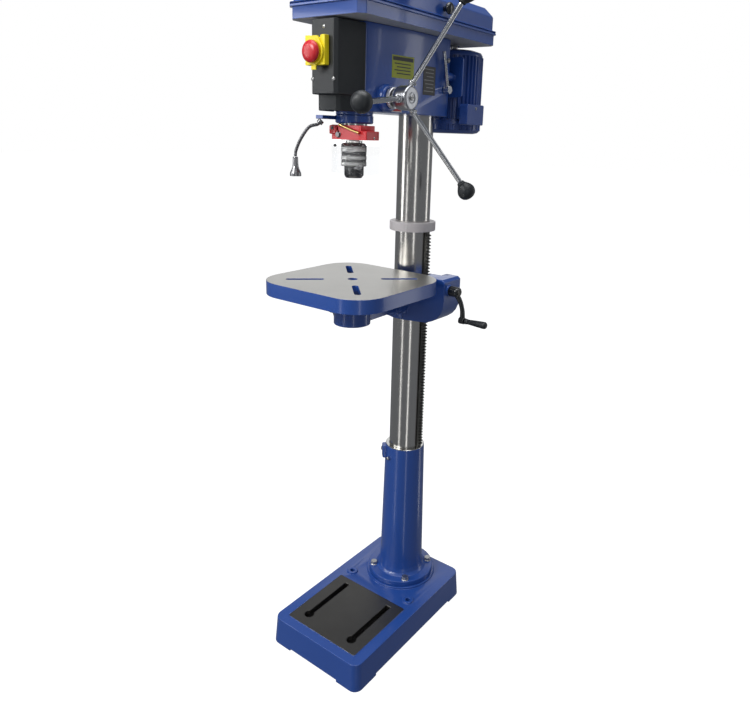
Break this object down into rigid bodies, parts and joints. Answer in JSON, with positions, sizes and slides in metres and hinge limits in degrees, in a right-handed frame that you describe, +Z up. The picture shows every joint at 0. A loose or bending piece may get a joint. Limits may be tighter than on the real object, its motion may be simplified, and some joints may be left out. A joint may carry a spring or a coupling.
{
  "type": "floor-standing drill press",
  "caption": "Floor-standing pillar drill with slotted base, rack-lifted tilting table, belt-driven spindle, three-arm feed, chuck guard and gooseneck lamp.",
  "frame": {"origin": "centre of the column axis at floor level, on the underside of the base", "axes": "+Z up along the column; -Y towards the operator; +X to the operator's right, the side of the feed handles"},
  "size_m": [0.4383, 0.7231, 1.7216],
  "materials": {
    "blue_enamel": "gloss enamel on iron castings",
    "motor_enamel": "gloss enamel on a finned aluminium shell",
    "ground_iron": "ground bright, oiled",
    "column_steel": "turned and polished",
    "dark_steel": "hardened, oiled",
    "chrome": "bright plated",
    "black_plastic": "moulded, satin",
    "red_plastic": "moulded, satin",
    "yellow_plastic": "moulded, satin",
    "green_plastic": "moulded, satin",
    "collar_grey": "plain painted ring",
    "clear_plastic": "clear polycarbonate",
    "belt_rubber": "moulded V-belt",
    "pulley_alloy": "die cast and turned"
  },
  "bodies": {
    "stand": {"base": "blue_enamel", "column_socket": "blue_enamel", "socket_bolt_1": "column_steel", "socket_bolt_2": "column_steel", "socket_bolt_3": "column_steel", "socket_bolt_4": "column_steel", "column": "column_steel", "column_collar": "collar_grey", "head_casting": "blue_enamel", "front_cover": "black_plastic", "quill_nose": "blue_enamel", "belt_housing": "blue_enamel", "spring_housing": "black_plastic", "front_belt": "belt_rubber", "rear_belt": "belt_rubber", "lamp_hose": "black_plastic", "lamp_head": "chrome", "switch_box": "yellow_plastic"},
    "rack_ring": {"rack": "dark_steel"},
    "bracket": {"table_bracket": "blue_enamel", "tilt_bolt": "dark_steel"},
    "lift_gear": {"lift_gear": "dark_steel"},
    "crank": {"worm_shaft": "dark_steel", "table_crank": "black_plastic"},
    "grip": {"crank_grip": "black_plastic"},
    "column_lock": {"column_lock_handle": "black_plastic"},
    "arm": {"table_arm": "blue_enamel"},
    "table_lock": {"table_lock_handle": "black_plastic"},
    "table": {"work_table": "ground_iron"},
    "cover": {"belt_cover": "blue_enamel", "lid_knob": "black_plastic"},
    "spindle_drive": {"spindle_pulley": "pulley_alloy"},
    "idler": {"idler_pulley": "pulley_alloy"},
    "motor": {"motor_body": "motor_enamel", "fan_cover": "motor_enamel", "terminal_box": "motor_enamel", "motor_plate": "blue_enamel"},
    "motor_drive": {"motor_pulley": "pulley_alloy"},
    "lever": {"tension_lever": "chrome"},
    "feed": {"feed_hub": "chrome", "feed_rod_1": "chrome", "feed_rod_2": "chrome", "feed_rod_3": "chrome", "feed_knob_1": "black_plastic", "feed_knob_2": "black_plastic", "feed_knob_3": "black_plastic"},
    "depth_stop": {"depth_ring": "chrome"},
    "quill": {"quill": "column_steel", "guard_clamp": "red_plastic"},
    "shield": {"guard_shield": "clear_plastic", "guard_wing_nut": "dark_steel"},
    "spindle": {"spindle": "column_steel", "chuck_body": "dark_steel"},
    "sleeve": {"chuck_sleeve": "dark_steel"},
    "jaw_1": {"chuck_jaw_1": "dark_steel"},
    "jaw_2": {"chuck_jaw_2": "dark_steel"},
    "jaw_3": {"chuck_jaw_3": "dark_steel"},
    "flap": {"stop_flap": "red_plastic"},
    "mushroom": {"stop_mushroom": "red_plastic"},
    "start": {"start_button": "green_plastic"}
  },
  "joints": [
    {"name": "table_swing", "type": "hinge", "parent": "stand", "child": "rack_ring", "pos_m": [0, 0, 0.962], "axis": [0, 0, 1], "range_deg": [-90, 90]},
    {"name": "table_lift", "type": "slide", "parent": "rack_ring", "child": "bracket", "axis": [0, 0, 1], "range_m": [-0.39, 0.1]},
    {"name": "lift_gear_turn", "type": "hinge", "parent": "bracket", "child": "lift_gear", "pos_m": [0.0753, 0, 0.962], "axis": [0, 1, 0], "range_deg": [-300, 1200]},
    {"name": "crank_turn", "type": "hinge", "parent": "bracket", "child": "crank", "pos_m": [0.0753, -0.038, 1.004], "axis": [1, 0, 0], "range_deg": [-4100, 16000]},
    {"name": "grip_spin", "type": "hinge", "parent": "crank", "child": "grip", "pos_m": [0.23, -0.038, 0.932], "axis": [1, 0, 0], "continuous": true},
    {"name": "column_lock", "type": "hinge", "parent": "bracket", "child": "column_lock", "pos_m": [-0.078, 0.02, 0.956], "axis": [1, 0, 0], "range_deg": [-40, 40]},
    {"name": "table_tilt", "type": "hinge", "parent": "bracket", "child": "arm", "pos_m": [0, -0.08, 0.962], "axis": [0, 1, 0], "range_deg": [-45, 45]},
    {"name": "table_lock", "type": "hinge", "parent": "arm", "child": "table_lock", "pos_m": [-0.062, -0.246, 0.956], "axis": [1, 0, 0], "range_deg": [-40, 40]},
    {"name": "table_turn", "type": "hinge", "parent": "arm", "child": "table", "pos_m": [0, -0.246, 1.045], "axis": [0, 0, 1], "range_deg": [-8, 8]},
    {"name": "cover_hinge", "type": "hinge", "parent": "stand", "child": "cover", "pos_m": [-0.112, -0.0675, 1.661], "axis": [0, -1, 0], "range_deg": [0, 95]},
    {"name": "spindle_drive_spin", "type": "hinge", "parent": "stand", "child": "spindle_drive", "pos_m": [0, -0.246, 1.665], "axis": [0, 0, 1], "continuous": true},
    {"name": "idler_spin", "type": "hinge", "parent": "stand", "child": "idler", "pos_m": [0, -0.036, 1.665], "axis": [0, 0, 1], "continuous": true},
    {"name": "motor_slide", "type": "slide", "parent": "stand", "child": "motor", "axis": [0, -1, 0], "range_m": [0, 0.01]},
    {"name": "motor_spin", "type": "hinge", "parent": "motor", "child": "motor_drive", "pos_m": [0, 0.168, 1.665], "axis": [0, 0, 1], "continuous": true},
    {"name": "lever_turn", "type": "hinge", "parent": "stand", "child": "lever", "pos_m": [0.078, 0.024, 1.505], "axis": [1, 0, 0], "range_deg": [0, 22]},
    {"name": "quill_feed", "type": "slide", "parent": "stand", "child": "quill", "axis": [0, 0, -1], "range_m": [0, 0.08], "stiffness_N_per_m": 400, "springref_m": -0.3},
    {"name": "feed_turn", "type": "hinge", "parent": "stand", "child": "feed", "pos_m": [0.11, -0.201, 1.472], "axis": [1, 0, 0], "range_deg": [0, 272]},
    {"name": "depth_ring_turn", "type": "hinge", "parent": "stand", "child": "depth_stop", "pos_m": [0.078, -0.201, 1.472], "axis": [1, 0, 0], "range_deg": [0, 340]},
    {"name": "shield_swing", "type": "hinge", "parent": "quill", "child": "shield", "pos_m": [-0.032, -0.28, 1.34], "axis": [0, 0, -1], "range_deg": [0, 90]},
    {"name": "spindle_spin", "type": "hinge", "parent": "quill", "child": "spindle", "pos_m": [0, -0.246, 1.4], "axis": [0, 0, 1], "continuous": true},
    {"name": "sleeve_turn", "type": "hinge", "parent": "spindle", "child": "sleeve", "pos_m": [0, -0.246, 1.33], "axis": [0, 0, 1], "range_deg": [0, 350]},
    {"name": "jaw_1_slide", "type": "slide", "parent": "spindle", "child": "jaw_1", "axis": [0.2095, 0.121, 0.9703], "range_m": [0, 0.0125]},
    {"name": "jaw_2_slide", "type": "slide", "parent": "spindle", "child": "jaw_2", "axis": [-0.2095, 0.121, 0.9703], "range_m": [0, 0.0125]},
    {"name": "jaw_3_slide", "type": "slide", "parent": "spindle", "child": "jaw_3", "axis": [0, -0.2419, 0.9703], "range_m": [0, 0.0125]},
    {"name": "flap_hinge", "type": "hinge", "parent": "stand", "child": "flap", "pos_m": [-0.0095, -0.3666, 1.588], "axis": [-1, 0, 0], "range_deg": [0, 100]},
    {"name": "stop_press", "type": "slide", "parent": "flap", "child": "mushroom", "axis": [0, 1, 0], "range_m": [0, 0.003], "stiffness_N_per_m": 400, "springref_m": -0.002},
    {"name": "start_press", "type": "slide", "parent": "stand", "child": "start", "axis": [0, 1, 0], "range_m": [0, 0.003], "stiffness_N_per_m": 400, "springref_m": -0.002}
  ],
  "couplings": [
    {"joint": "lift_gear_turn", "follows": "table_lift", "rad_per_m": -50},
    {"joint": "crank_turn", "follows": "table_lift", "rad_per_m": -700},
    {"joint": "idler_spin", "follows": "spindle_drive_spin", "ratio": 1.2074},
    {"joint": "motor_spin", "follows": "spindle_drive_spin", "ratio": 2.3965},
    {"joint": "spindle_spin", "follows": "spindle_drive_spin", "ratio": 1},
    {"joint": "lever_turn", "follows": "motor_slide", "rad_per_m": 35},
    {"joint": "feed_turn", "follows": "quill_feed", "rad_per_m": 58.824},
    {"joint": "jaw_1_slide", "follows": "sleeve_turn", "m_per_rad": 0.0019644},
    {"joint": "jaw_2_slide", "follows": "sleeve_turn", "m_per_rad": 0.0019644},
    {"joint": "jaw_3_slide", "follows": "sleeve_turn", "m_per_rad": 0.0019644}
  ]
}
